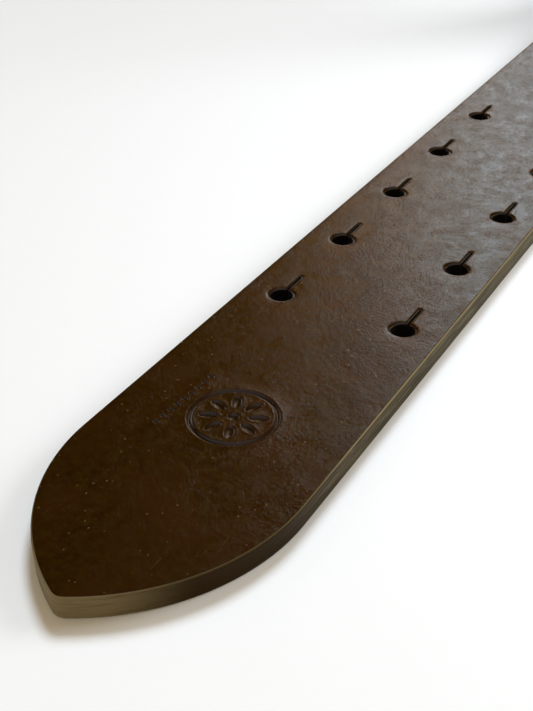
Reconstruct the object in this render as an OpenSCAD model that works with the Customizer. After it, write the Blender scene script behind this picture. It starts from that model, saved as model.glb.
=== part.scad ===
// Double-tongue leather belt, loosely looped, with its tip lying out flat.
// The strap is one piece of leather. Its outer end lies on the ground, the strap
// makes one loop with the grain side inwards, and the buckle end lies inside it.
// +X runs from the tip towards the loop, +Y across the strap, +Z up.

/* [Strap] */
// Width of the strap
strap_w = 40; // [36:0.5:44]
// Thickness of the strap
strap_t = 4; // [3.4:0.1:4.4]
// Length of the pointed tip, up to where the sides run straight
tip_len = 32.5; // [26:0.5:40]

/* [Keyholes] */
// Pairs of keyholes
pairs = 5; // [3:1:6]
// Distance from one pair to the next
pitch = 25.4; // [20:0.1:27]
// Distance between the two rows
row_gap = 25; // [22:0.5:27]
// Distance from the tip to the first pair
first_pair = 83.2; // [70:0.1:95]
// Diameter of a hole
hole_d = 4.4; // [4:0.1:5]
// From a hole's centre to the end of its slit
slit_reach = 7.9; // [6:0.1:9]
// Width of a slit
slit_w = 0.9; // [0.6:0.1:1.2]

/* [Loop] */
// Length that lies flat on the ground, from the tip to the start of the loop
flat_len = 455; // [440:1:520]
// Radius of the loop's far bend, at the middle of the leather
bend_r = 55; // [50:1:70]
// Sweep of each of the two end bends
bend_sweep = 150; // [140:1:160]
// Straight length inside the loop, from the near bend to the buckle's bar
inner_len = 110; // [105:1:120]
// From the start of the far bend back to the buckle's bar
bar_back = 40; // [38:1:50]

/* [Fold] */
// Thickness of the leather where it is skived for the fold
skive_t = 3; // [2.4:0.1:3.2]
// Length of the end that is turned under, from the bar
turn_under = 55; // [52:1:58]
// Length of a tongue slot behind the bar
slot_back = 16; // [15:0.5:16]
// Width of a tongue slot
slot_w = 6.2; // [6:0.1:6.6]

/* [Buckle] */
// Diameter of the bar that the strap folds round
bar_d = 5; // [4.6:0.1:5.2]
// Width of the frame's rails and outer bar
rail_w = 5; // [4.4:0.1:5.6]
// Thickness of the frame
frame_t = 4.6; // [4:0.1:5]
// From the bar to the outer edge of the frame
frame_len = 37.5; // [34:0.5:39]
// Bevel along the frame's edges
frame_bevel = 1.3; // [0.8:0.1:1.5]
// Width of a tongue's eye
eye_w = 5; // [4.6:0.1:5.2]
// Width of a tongue's shank
shank_w = 4; // [3.4:0.1:4.2]
// Thickness of a tongue
tongue_t = 2.4; // [2:0.1:2.6]

/* [Studs and screws] */
// From the bar back to the pair of closing screws
screw_back = 24; // [23:0.5:26]
// From the bar back to the pair of ball studs
stud_back = 43; // [42:0.5:46]
// Diameter of a screw's or stud's flange
flange_d = 9; // [8:0.5:10]
// Thickness of a flange
flange_t = 1.1; // [0.8:0.1:1.4]
// Diameter of a stud's ball
ball_d = 6.5; // [6:0.1:7]
// Diameter of a stud's neck
neck_d = 3.8; // [3.4:0.1:4]

/* [Keeper] */
// Width of the keeper along the strap
keeper_w = 10; // [8:0.5:14]
// Thickness of the keeper's leather
keeper_t = 2.2; // [1.8:0.1:2.6]
// From the bar back to the keeper's middle
keeper_back = 68; // [67:1:75]

/* [Hidden] */
$fn = 96;

gap = 0.3;              // between leather layers that lie over each other
fit = 0.05;             // radial play of a shank in its bore
over = 1;               // how far a cutter runs past what it cuts
leather = [0.2, 0.13, 0.07];
brass = [0.75, 0.58, 0.28];
left = 1;
right = -1;

// The tip is drawn by two arcs that meet at the point and run into the sides.
tip_r = (tip_len * tip_len + strap_w * strap_w / 4) / strap_w;
tip_sweep = asin((tip_r - strap_w / 2) / tip_r);

// Heights of the buckle end, which lies on the strap's flat length.
fold_r = bar_d / 2 + 0.2;
bar_z = strap_t + gap + skive_t + fold_r;
grain_z = bar_z + fold_r + skive_t;
flesh_z = grain_z - strap_t;
inner_z = grain_z - strap_t / 2;
under_z = bar_z + fold_r - skive_t;

// The loop: a far bend, a long arch over the top and a near bend, all tangent.
rise = 1 - cos(bend_sweep);
near_r = bend_r - (inner_z - strap_t / 2) / rise;
arch_sweep = 360 - 2 * bend_sweep;
bar_x = flat_len - bar_back;
near_x = bar_x - inner_len;
arch_r = (flat_len - near_x + sin(bend_sweep) * (bend_r + near_r)) / (2 * sin(arch_sweep / 2));
bend_z = strap_t / 2 + bend_r;
arch_x = flat_len + sin(bend_sweep) * bend_r - arch_r * sin(arch_sweep / 2);
arch_z = bend_z - (arch_r - bend_r) * cos(arch_sweep / 2);
middle_x = (flat_len + bend_r + strap_t / 2) / 2;

// Under the bar the turned end starts low, and rises in an S to meet the upper layer.
s_len = 18;
curve_steps = 25;
wedge_len = 14;         // over which the leather thins ahead of the turned-under end
flap_share = 0.43;      // how much of the wedge lies ahead of that end

// At rest the frame's outer bar lies on the strap below it.
rest_gap = 0.15;
frame_droop = asin((bar_z - frame_t / 2 - strap_t - rest_gap) / frame_len);
rail_y = strap_w / 2 + 1;
corner_r = 2;
boss_r = 4.2;
eye_r = bar_d / 2 + 0.07;
tongue_low = frame_t / 2 + fit;
barrel_r = 2.4;
thread_r = 1.7;
neck_h = strap_t + 0.4;
stack_z = under_z;

// The keeper hangs on the strap and has room for a second layer.
keeper_in_w = strap_w + 1;
keeper_in_h = 2 * strap_t + 0.9;
keeper_top = grain_z + 0.2;
keeper_low = keeper_top - keeper_in_h - keeper_t;
staple_t = 0.5;

// An arc about (x, z) from angle a0 to a1, counted from the first axis. The point at
// the start is left out where first is 1, because the length before ends there.
function arc(x, z, r, a0, a1, first = 0) = [for (i = [first : curve_steps])
    let (a = a0 + (a1 - a0) * i / curve_steps) [x + r * cos(a), z + r * sin(a)]];

// One face of the loop, out mm outside the middle of the leather.
function loop_face(out) = concat(
    arc(flat_len, bend_z, bend_r + out, -90, bend_sweep - 90),
    arc(arch_x, arch_z, arch_r + out, 90 - arch_sweep / 2, 90 + arch_sweep / 2, 1),
    arc(near_x, inner_z + near_r, near_r + out, 270 - bend_sweep, 270, 1));

// One face of the S behind the bar, from the bar back to where the layers meet.
function s_face(low, high) = [for (i = [1 : curve_steps])
    [bar_x - s_len * i / curve_steps, bar_z + low + (high - low) * (1 - cos(180 * i / curve_steps)) / 2]];

function backwards(points) = [for (i = [len(points) - 1 : -1 : 0]) points[i]];

// The whole strap from the side. It runs along the grain, round the outside of the
// fold and back along the flesh side. The leather thins in a wedge ahead of the fold.
module side_profile() {
    out = fold_r + skive_t;
    flap_x = bar_x - turn_under;
    wedge_x = flap_x - wedge_len * flap_share;
    outline = concat(
        [[0, strap_t]],
        loop_face(-strap_t / 2),
        arc(bar_x, bar_z, out, 90, -90),
        s_face(-out, fold_r - skive_t),
        [[flap_x, under_z], [flap_x, flesh_z + (strap_t - skive_t) * flap_share], [wedge_x, flesh_z]],
        backwards(loop_face(strap_t / 2)),
        [[0, 0]]);
    eye = concat(arc(bar_x, bar_z, fold_r, 90, -90), s_face(-fold_r, fold_r));
    polygon(concat(outline, eye), [
        [for (i = [0 : len(outline) - 1]) i],
        [for (i = [0 : len(eye) - 1]) len(outline) + i]]);
}

// The strap from above, as if cut from a plank as high as the loop.
module plan_profile() {
    far_x = 2 * flat_len;
    half = strap_w / 2;
    polygon(concat(
        arc(tip_len, half - tip_r, tip_r, 180 - tip_sweep, 90),
        [[far_x, half], [far_x, -half]],
        arc(tip_len, tip_r - half, tip_r, -90, tip_sweep - 180)));
}

module keyhole(x, y) {
    translate([x, y, -over]) {
        cylinder(d = hole_d, h = strap_t + 2 * over);
        translate([0, -slit_w / 2, 0]) cube([slit_reach - slit_w / 2, slit_w, strap_t + 2 * over]);
        translate([slit_reach - slit_w / 2, 0, 0]) cylinder(d = slit_w, h = strap_t + 2 * over, $fn = 24);
    }
}

// A tongue's slot goes through both layers of the fold.
module tongue_slot(y) {
    low = strap_t + gap / 2;
    high = grain_z + over - low;
    translate([bar_x - slot_back + slot_w / 2, y, low]) {
        cylinder(d = slot_w, h = high);
        translate([0, -slot_w / 2, 0]) cube([slot_back + fold_r + skive_t, slot_w, high]);
    }
}

module fastener_hole(back, y) {
    translate([bar_x - back, y, strap_t + gap / 2])
        cylinder(r = barrel_r + fit, h = grain_z + over - strap_t);
}

module strap() {
    color(leather) difference() {
        intersection() {
            rotate([90, 0, 0]) linear_extrude(2 * strap_w, center = true) side_profile();
            translate([0, 0, -over]) linear_extrude(4 * bend_r) plan_profile();
        }
        for (i = [0 : pairs - 1], side = [left, right])
            keyhole(first_pair + i * pitch, side * row_gap / 2);
        for (side = [left, right]) {
            tongue_slot(side * row_gap / 2);
            fastener_hole(screw_back, side * row_gap / 2);
            fastener_hole(stud_back, side * row_gap / 2);
        }
    }
}

// Moves what is drawn about the hinge bar to its place, with the frame's droop.
module at_bar() {
    translate([bar_x, 0, bar_z]) rotate([0, frame_droop, 0]) children();
}

module frame_section() {
    b = frame_bevel;
    x = rail_w / 2;
    y = frame_t / 2;
    polygon([[-x + b, -y], [x - b, -y], [x, -y + b], [x, y - b],
             [x - b, y], [-x + b, y], [-x, y - b], [-x, -y + b]]);
}

module buckle_frame() {
    corner_x = frame_len - rail_w - corner_r;
    corner_y = rail_y - corner_r;
    mid_r = corner_r + rail_w / 2;
    color(brass) at_bar() difference() {
        union() {
            translate([frame_len - rail_w / 2, corner_y, 0]) rotate([90, 0, 0])
                linear_extrude(2 * corner_y) frame_section();
            for (side = [left, right]) {
                translate([corner_x, side * corner_y, 0]) rotate([0, 0, side == left ? 0 : -90])
                    rotate_extrude(angle = 90) translate([mid_r, 0]) frame_section();
                translate([0, side * (rail_y + rail_w / 2), 0]) rotate([90, 0, 90])
                    linear_extrude(corner_x) frame_section();
                translate([0, side * (rail_y + rail_w / 2), 0]) rotate([90, 0, 0])
                    cylinder(r = boss_r, h = rail_w, center = true);
            }
        }
        rotate([90, 0, 0]) cylinder(d = bar_d, h = 3 * strap_w, center = true);
    }
}

module hinge_bar() {
    color(brass) at_bar() rotate([90, 0, 0])
        cylinder(d = bar_d, h = 2 * (rail_y + rail_w), center = true);
}

// An eye round the bar, and a shank that lies on the frame's outer bar.
module tongue(side) {
    high = tongue_low + tongue_t;
    color(brass) at_bar() translate([0, side * row_gap / 2, 0]) difference() {
        union() {
            rotate([90, 0, 0]) cylinder(r = high, h = eye_w, center = true);
            translate([0, -shank_w / 2, tongue_low]) cube([frame_len - shank_w / 2, shank_w, tongue_t]);
            translate([frame_len - shank_w / 2, 0, tongue_low]) cylinder(d = shank_w, h = tongue_t);
        }
        rotate([90, 0, 0]) cylinder(r = eye_r, h = 2 * eye_w, center = true);
    }
}

module tongue_left() { tongue(left); }
module tongue_right() { tongue(right); }

// A hollow barrel through both layers of leather, open at its lower end.
module barrel() {
    translate([0, 0, stack_z + fit]) difference() {
        cylinder(r = barrel_r, h = grain_z - stack_z - fit);
        translate([0, 0, -over]) cylinder(r = thread_r + fit, h = grain_z - stack_z);
    }
}

// A slotted cap on the flesh side, whose shank goes up into the barrel.
module slotted_screw(back, side) {
    slot = 1.2;
    color(brass) translate([bar_x - back, side * row_gap / 2, 0]) difference() {
        union() {
            translate([0, 0, stack_z - flange_t]) cylinder(d = flange_d, h = flange_t);
            translate([0, 0, stack_z - fit]) cylinder(r = thread_r, h = grain_z - stack_z - 2);
        }
        translate([-flange_d, -slot / 2, stack_z - flange_t - over])
            cube([2 * flange_d, slot, over + flange_t / 2]);
    }
}

module screw_post(side) {
    color(brass) translate([bar_x - screw_back, side * row_gap / 2, 0]) {
        barrel();
        translate([0, 0, grain_z]) cylinder(d1 = flange_d, d2 = flange_d - 1.6, h = flange_t);
    }
}

module stud_ball(side) {
    neck_z = grain_z + flange_t;
    seat = sqrt(ball_d * ball_d - neck_d * neck_d) / 2;
    color(brass) translate([bar_x - stud_back, side * row_gap / 2, 0]) {
        barrel();
        translate([0, 0, grain_z]) cylinder(d1 = flange_d, d2 = flange_d - 1.6, h = flange_t);
        translate([0, 0, neck_z - fit]) cylinder(d = neck_d, h = neck_h + seat);
        translate([0, 0, neck_z + neck_h + seat]) sphere(d = ball_d);
    }
}

module screw_post_left() { screw_post(left); }
module screw_post_right() { screw_post(right); }
module screw_cap_left() { slotted_screw(screw_back, left); }
module screw_cap_right() { slotted_screw(screw_back, right); }
module stud_ball_left() { stud_ball(left); }
module stud_ball_right() { stud_ball(right); }
module stud_screw_left() { slotted_screw(stud_back, left); }
module stud_screw_right() { slotted_screw(stud_back, right); }

// A rectangle w by h with round corners of radius r, its lower edge at z0.
module round_rect(w, h, z0, r) {
    translate([-w / 2 + r, z0]) square([w - 2 * r, h]);
    translate([-w / 2, z0 + r]) square([w, h - 2 * r]);
    for (x = [-w / 2 + r, w / 2 - r], z = [z0 + r, z0 + h - r])
        translate([x, z]) circle(r);
}

module keeper_loop() {
    color(leather) translate([bar_x - keeper_back - keeper_w / 2, 0, 0]) rotate([90, 0, 90])
        linear_extrude(keeper_w) difference() {
            round_rect(keeper_in_w + 2 * keeper_t, keeper_in_h + 2 * keeper_t, keeper_low, keeper_t + 0.8);
            round_rect(keeper_in_w, keeper_in_h, keeper_low + keeper_t, 0.8);
        }
}

// A wire staple across the butt joint under the keeper.
module keeper_staple(x_off) {
    color(brass) translate([bar_x - keeper_back + x_off, 0, keeper_low - staple_t])
        translate([-0.6, -3, 0]) cube([1.2, 6, staple_t]);
}

module keeper_staple_front() { keeper_staple(keeper_w / 4); }
module keeper_staple_back() { keeper_staple(-keeper_w / 4); }

translate([-middle_x, 0, 0]) {
    strap();
    keeper_loop();
    keeper_staple_front();
    keeper_staple_back();
    buckle_frame();
    hinge_bar();
    tongue_left();
    tongue_right();
    screw_post_left();
    screw_post_right();
    screw_cap_left();
    screw_cap_right();
    stud_ball_left();
    stud_ball_right();
    stud_screw_left();
    stud_screw_right();
}
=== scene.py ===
import math

import bmesh
import bpy
from mathutils import Matrix, Vector
from mathutils.geometry import delaunay_2d_cdt


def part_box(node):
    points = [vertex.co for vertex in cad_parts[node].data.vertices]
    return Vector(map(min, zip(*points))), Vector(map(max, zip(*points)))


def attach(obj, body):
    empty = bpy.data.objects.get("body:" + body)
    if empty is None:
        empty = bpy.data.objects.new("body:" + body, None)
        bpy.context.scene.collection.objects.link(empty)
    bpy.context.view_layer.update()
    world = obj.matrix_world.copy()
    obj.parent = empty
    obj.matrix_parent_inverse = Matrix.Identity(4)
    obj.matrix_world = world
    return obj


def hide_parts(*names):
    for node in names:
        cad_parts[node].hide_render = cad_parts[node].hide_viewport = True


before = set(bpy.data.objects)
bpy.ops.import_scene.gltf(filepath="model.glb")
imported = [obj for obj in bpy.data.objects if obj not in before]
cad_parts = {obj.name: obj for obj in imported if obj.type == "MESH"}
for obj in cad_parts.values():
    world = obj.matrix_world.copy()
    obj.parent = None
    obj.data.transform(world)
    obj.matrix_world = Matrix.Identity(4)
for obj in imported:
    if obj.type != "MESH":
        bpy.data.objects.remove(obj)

mm = 0.001
scene = bpy.context.scene
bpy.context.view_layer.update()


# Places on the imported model, in millimetres.
def boxOf(node):
    low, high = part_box(node)
    return Vector(low) / mm, Vector(high) / mm


barLow, barHigh = boxOf("hinge_bar")
barCentre = (barLow + barHigh) / 2
tipX = boxOf("strap")[0].x
left, right = 1, -1


# Short ways to write node trees.
def put(tree, kind, settings=None, inputs=None):
    node = tree.nodes.new(kind)
    for name, value in (settings or {}).items():
        setattr(node, name, value)
    for name, value in (inputs or {}).items():
        if isinstance(value, bpy.types.NodeSocket):
            tree.links.new(value, node.inputs[name])
        else:
            node.inputs[name].default_value = value
    return node


# Inputs are (name, kind of socket, first value). The first value may be left out.
def newTree(name, kind, inputs, outputs):
    tree = bpy.data.node_groups.new(name, kind)
    for label, socketKind, *value in inputs:
        socket = tree.interface.new_socket(name=label, in_out="INPUT", socket_type="NodeSocket" + socketKind)
        if value:
            socket.default_value = value[0]
    for label, socketKind in outputs:
        tree.interface.new_socket(name=label, in_out="OUTPUT", socket_type="NodeSocket" + socketKind)
    return tree, put(tree, "NodeGroupInput").outputs, put(tree, "NodeGroupOutput")


def giveOut(tree, result, *values):
    for socket, value in zip(result.inputs, values):
        tree.links.new(value, socket)
    return tree


def calc(tree, operation, *values):
    return put(tree, "ShaderNodeMath", {"operation": operation}, dict(enumerate(values))).outputs[0]


def calcVector(tree, operation, *values):
    return put(tree, "ShaderNodeVectorMath", {"operation": operation}, dict(enumerate(values))).outputs[0]


def scaled(tree, place, by):
    return put(tree, "ShaderNodeVectorMath", {"operation": "SCALE"}, {0: place, "Scale": by}).outputs[0]


def joined(tree, **lengths):
    return put(tree, "ShaderNodeCombineXYZ", inputs=lengths).outputs[0]


def split(tree, place):
    return put(tree, "ShaderNodeSeparateXYZ", inputs={0: place}).outputs


def addMesh(name, verts, faces, zones=None, closed=True):
    mesh = bpy.data.meshes.new(name)
    mesh.from_pydata([Vector(v) * mm for v in verts], [], faces)
    if zones:
        layer = mesh.attributes.new("zone", "INT", "FACE")
        layer.data.foreach_set("value", zones)
    if closed and faces:
        shape = bmesh.new()
        shape.from_mesh(mesh)
        bmesh.ops.recalc_face_normals(shape, faces=shape.faces)
        shape.to_mesh(mesh)
        shape.free()
    mesh.shade_smooth()
    mesh.update()
    piece = bpy.data.objects.new(name, mesh)
    scene.collection.objects.link(piece)
    return piece


# Turns a piece with its modifiers into a plain mesh.
def settle(piece):
    bpy.context.view_layer.update()
    graph = bpy.context.evaluated_depsgraph_get()
    mesh = bpy.data.meshes.new_from_object(piece.evaluated_get(graph))
    piece.modifiers.clear()
    old, piece.data = piece.data, mesh
    bpy.data.meshes.remove(old)
    mesh.name = piece.name
    return piece


# Runs a Geometry Nodes tree and keeps its result as a plain mesh.
def growWith(name, tree, values):
    piece = addMesh(name, [(0, 0, 0)], [])
    modifier = piece.modifiers.new(tree.name, "NODES")
    modifier.node_group = tree
    ids = {item.name: item.identifier for item in tree.interface.items_tree if item.in_out == "INPUT"}
    for label, value in values.items():
        modifier[ids[label]] = value
    return settle(piece)


# Says which body a piece rides on and which nodes it stands for. The slot it is given for its finish is not
# used.
def hand(piece, body, slot, *nodes):
    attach(piece, body)
    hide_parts(*nodes)
    print(piece.name, "made,", len(piece.data.polygons), "faces")


def discard(*pieces):
    for piece in pieces:
        data = piece.data
        bpy.data.objects.remove(piece)
        if isinstance(data, bpy.types.Mesh):
            bpy.data.meshes.remove(data)
        else:
            bpy.data.curves.remove(data)


# Joins rings of points with the same count, and closes both ends.
def loft(rings):
    count = len(rings[0])
    verts = [point for ring in rings for point in ring]
    faces = []
    for i in range(len(rings) - 1):
        a, b = i * count, (i + 1) * count
        for j in range(count):
            k = (j + 1) % count
            faces.append((a + j, a + k, b + k, b + j))
    faces.append(tuple(reversed(range(count))))
    faces.append(tuple(range(len(verts) - count, len(verts))))
    return verts, faces


# Turns a profile of (radius, height) points about +Z. It starts and ends on the axis.
def lathe(profile, count):
    turns = [2 * math.pi * j / count for j in range(count)]
    rings = [[(r * math.cos(a), r * math.sin(a), z) for a in turns] for r, z in profile[1:-1]]
    verts, faces = loft(rings)
    faces = faces[:-2]
    verts += [(0, 0, profile[0][1]), (0, 0, profile[-1][1])]
    last = (len(rings) - 1) * count
    for j in range(count):
        k = (j + 1) % count
        faces.append((len(verts) - 2, k, j))
        faces.append((len(verts) - 1, last + j, last + k))
    return verts, faces


# A camera that looks along the belt from its tip, at the height of a hand.
cameraPlan = {
    "lens": 57.75,                    # mm on a 36 mm sensor
    "place": (-78.4, -78.5, 113.6),   # mm from the point of the tip
    "azimuth": 30.28,                 # degrees from +X towards +Y
    "depression": 33.67,
    "roll": -0.34,
}


def makeCamera(plan):
    data = bpy.data.cameras.new("camera")
    data.lens, data.sensor_width, data.clip_start = plan["lens"], 36, 0.005
    camera = bpy.data.objects.new("camera", data)
    scene.collection.objects.link(camera)
    scene.camera = camera
    turn = (Matrix.Rotation(math.radians(plan["azimuth"] - 90), 4, "Z")
            @ Matrix.Rotation(math.radians(90 - plan["depression"]), 4, "X")
            @ Matrix.Rotation(math.radians(plan["roll"]), 4, "Z"))
    place = Vector(plan["place"]) + Vector((tipX, 0, 0))
    camera.matrix_world = Matrix.Translation(place * mm) @ turn


makeCamera(cameraPlan)
print("camera placed")

# The strap, measured as it lay on the bench: s along the grain, v across, z = 0 on the grain.
strapPlan = {
    "width": 40.0, "thickness": 4.0, "tipLength": 32.5, "tipRound": 1.3,
    "flatLength": 455.0, "bendRadius": 55.0, "bendSweep": 150.0, "innerLength": 110.0,
    "skived": 3.0, "foldRadius": 2.7, "turnUnder": 55.0, "sLength": 18.0, "wedgeStart": 61.0,
    "wedgeEnd": 47.0, "meshStep": 2.5, "plainLength": 25.0, "plainStep": 2.2, "weld": 0.02,
    # an edge's shape: how far in from the side, and how deep below the face
    "edgeShape": [(0.95, 0.0), (0.38, 0.0), (0.25, 0.015), (0.06, 0.18), (0.02, 0.3), (0.0, 0.5), (0.0, 1.1)],
}
keyholePlan = {
    "pairs": 5, "pitch": 25.4, "firstPair": 83.2, "rowGap": 25.0, "radius": 2.2, "slitReach": 7.9,
    "slitHalf": 0.24, "slitSoftness": 0.62, "clear": 3.6,
    "lip": [(1.1, 0.0), (0.6, 0.02), (0.34, 0.1), (0.14, 0.27), (0.03, 0.52), (0.0, 0.9)],
}
foldHoles = {
    "slotBack": 16.0, "slotHalf": 3.1, "screwBack": 24.0, "studBack": 43.0, "radius": 2.45, "clear": 1.2,
    "lip": [(0.8, 0.0), (0.45, 0.03), (0.2, 0.12), (0.05, 0.3), (0.0, 0.6)],
}


def arcPoints(x, z, r, start, stop, steps):
    angles = [math.radians(start + (stop - start) * i / steps) for i in range(steps + 1)]
    return [(x + r * math.cos(a), z + r * math.sin(a)) for a in angles]


# The grain's line from the tip, round the loop and the fold, to the end turned under.
# Also says how far along it the bar, the end of the wrap and the strap's end lie.
def grainPath(plan):
    t, r1, sweep = plan["thickness"], plan["bendRadius"], plan["bendSweep"]
    out = plan["foldRadius"] + plan["skived"]
    barX, barZ = barCentre.x - tipX, barCentre.z
    grainZ = barZ + out
    innerZ = grainZ - t / 2
    nearX = barX - plan["innerLength"]
    r2 = r1 - (innerZ - t / 2) / (1 - math.cos(math.radians(sweep)))
    rise, arch = math.sin(math.radians(sweep)), 360 - 2 * sweep
    half = math.sin(math.radians(arch / 2))
    r3 = (plan["flatLength"] - nearX + rise * (r1 + r2)) / (2 * half)
    archX = plan["flatLength"] + rise * r1 - r3 * half
    archZ = t / 2 + r1 - (r3 - r1) * math.cos(math.radians(arch / 2))
    low = plan["foldRadius"] - plan["skived"]
    sShares = [i / 36 for i in range(1, 37)]
    sCurve = [(barX - plan["sLength"] * share, barZ - out + (low + out) * (1 - math.cos(math.pi * share)) / 2)
              for share in sShares]
    parts = [
        [(0, t), (plan["flatLength"] - 4, t)],
        arcPoints(plan["flatLength"], t / 2 + r1, r1 - t / 2, -90, sweep - 90, 90),
        arcPoints(archX, archZ, r3 - t / 2, 90 - arch / 2, 90 + arch / 2, 60)[1:],
        arcPoints(nearX, innerZ + r2, r2 - t / 2, 270 - sweep, 270, 90)[1:],
        [(barX - 40, grainZ), (barX - 4, grainZ)],
        arcPoints(barX, barZ, out, 90, -90, 60),
        sCurve,
        [(barX - plan["turnUnder"], barZ + low)],
    ]
    points, lengths = [], []
    total = 0
    for part in parts:
        for point in part:
            if points:
                total += math.dist(points[-1], point)
            points.append(point)
        lengths.append(total)
    return points, {"bar": lengths[4] + 4, "wrapped": lengths[5], "met": lengths[6], "end": lengths[7]}


pathPoints, marks = grainPath(strapPlan)
print("strap length", round(marks["end"]), "mm,", round(marks["bar"]), "mm to the bar")


def thicknessAt(s):
    first, last = marks["bar"] - strapPlan["wedgeStart"], marks["bar"] - strapPlan["wedgeEnd"]
    share = min(max((s - first) / (last - first), 0), 1)
    return strapPlan["thickness"] + (strapPlan["skived"] - strapPlan["thickness"]) * share


# For each point of a line with leather on its left, the way into the leather.
def inwards(points, closed):
    found = []
    for i, here in enumerate(points):
        before = points[i - 1] if closed or i else None
        after = points[(i + 1) % len(points)] if closed or i < len(points) - 1 else None
        normals = []
        for a, b in ((before, here), (here, after)):
            if a and b and math.dist(a, b) > 1e-9:
                d = math.dist(a, b)
                normals.append(Vector((-(b[1] - a[1]) / d, (b[0] - a[0]) / d)))
        middle = sum(normals, Vector((0, 0))).normalized()
        found.append(middle / max(middle.dot(normals[0]), 0.6))
    return found


def area(points):
    return sum(a[0] * b[1] - b[0] * a[1] for a, b in zip(points, points[1:] + points[:1])) / 2


grain, edge, flesh, punched = 0, 1, 2, 3


# Says how to move a line's points a given way into the leather.
def growing(points, closed):
    ways = inwards(points, closed)
    return lambda inset: [(s + way.x * inset, v + way.y * inset) for (s, v), way in zip(points, ways)]


# A sheet of leather with shaped edges. The outline is made of rims, which get an edge,
# and borders, where the next sheet joins. A hole is its rings at any inset, the shape of its
# edge and how soft that edge is at each point.
class Sheet:
    def __init__(self):
        self.verts, self.faces, self.zones = [], [], []

    def add(self, s, v, z):
        self.verts.append((s, v, z))
        return len(self.verts) - 1

    # Rings of points down an edge. Returns the top ring and the bottom ring.
    def wall(self, ringAt, shape, closed, softness=None):
        levels = [(a, d, 0) for a, d in shape] + [(a, d, 1) for a, d in reversed(shape)]
        rings = []
        for inset, depth, fromBelow in levels:
            ring = []
            for i, (s, v) in enumerate(ringAt(inset)):
                drop = depth * (softness[i] if softness else 1)
                ring.append(self.add(s, v, drop - thicknessAt(s) if fromBelow else -drop))
            rings.append(ring)
        count = len(rings[0])
        # the first and last rings of an edge still belong to the two faces
        for level, (a, b) in enumerate(zip(rings, rings[1:])):
            if level < (4 if closed else 2):
                zone = grain
            elif level > len(rings) - 4:
                zone = flesh
            else:
                zone = punched if closed else edge
            for i in range(count if closed else count - 1):
                k = (i + 1) % count
                self.faces.append((a[i], b[i], b[k], a[k]))
                self.zones.append(zone)
        return rings[0], rings[-1]

    # Fills the face between closed loops of points that are already there.
    def fill(self, loops, creases, spots, upwards):
        ids = [i for loop in loops for i in loop] + [i for crease in creases for i in crease]
        flat = [Vector(self.verts[i][:2]) for i in ids]
        edges, outlines, start = [], [], 0
        for loop in loops + creases:
            run = list(range(start, start + len(loop)))
            edges += zip(run, run[1:] + run[:1])
            if len(outlines) < len(loops):
                outlines.append(run if area([flat[i] for i in run]) > 0 else run[::-1])
            start += len(loop)
        for s, v in spots:
            ids.append(self.add(s, v, 0 if upwards else -thicknessAt(s)))
            flat.append(Vector((s, v)))
        out = delaunay_2d_cdt(flat, edges, outlines, 0, 1e-5, True)
        places = []
        for point, origins in zip(out[0], out[3]):
            if origins:
                places.append(ids[origins[0]])
            else:
                print("a line crosses another near", tuple(round(c, 2) for c in point))
                places.append(self.add(point.x, point.y, 0 if upwards else -thicknessAt(point.x)))
        for face, origins in zip(out[2], out[5]):
            if list(origins) == [0]:
                corners = [places[i] for i in face]
                self.faces.append(tuple(corners if upwards else reversed(corners)))
                self.zones.append(grain if upwards else flesh)


def farFrom(spot, circles):
    return all(math.dist(spot, centre) > reach for centre, reach in circles)


def makeSheet(name, outline, holes, pressed, lines, avoid):
    sheet = Sheet()
    top, bottom = [], []
    for kind, points in outline:
        if kind == "rim":
            ringTop, ringBottom = sheet.wall(growing(points, False), strapPlan["edgeShape"], False)
        else:
            ringTop = [sheet.add(s, v, 0) for s, v in points]
            ringBottom = [sheet.add(s, v, -thicknessAt(s)) for s, v in points]
        top += ringTop
        bottom += ringBottom
    topLoops, bottomLoops = [top], [bottom]
    for ringAt, shape, softness in holes:
        ringTop, ringBottom = sheet.wall(ringAt, shape, True, softness)
        topLoops.append(ringTop)
        bottomLoops.append(ringBottom)
    creases = [[sheet.add(s, v, z) for s, v in points] for points, z in pressed]
    spots = [(s, v) for s in lines for v in acrossLines]
    sheet.fill(topLoops, creases, [p for p in spots if farFrom(p, avoid)], True)
    sheet.fill(bottomLoops, [], [p for p in spots if farFrom(p, avoid)], False)
    return addMesh(name, sheet.verts, sheet.faces, sheet.zones, False)


halfWidth = strapPlan["width"] / 2
acrossLines = [-halfWidth + strapPlan["width"] * i / 10 for i in range(1, 10)]


def steps(start, stop, size):
    count = max(1, round(abs(stop - start) / size))
    return [start + (stop - start) * i / count for i in range(count + 1)]


# Both long edges of a plain or holed length of strap, and its two open ends.
def lengthOutline(start, stop, size):
    down = steps(start, stop, size)
    return [("rim", [(s, -halfWidth) for s in down]), ("border", [(stop, v) for v in acrossLines]),
            ("rim", [(s, halfWidth) for s in reversed(down)]),
            ("border", [(start, v) for v in reversed(acrossLines)])]


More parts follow.
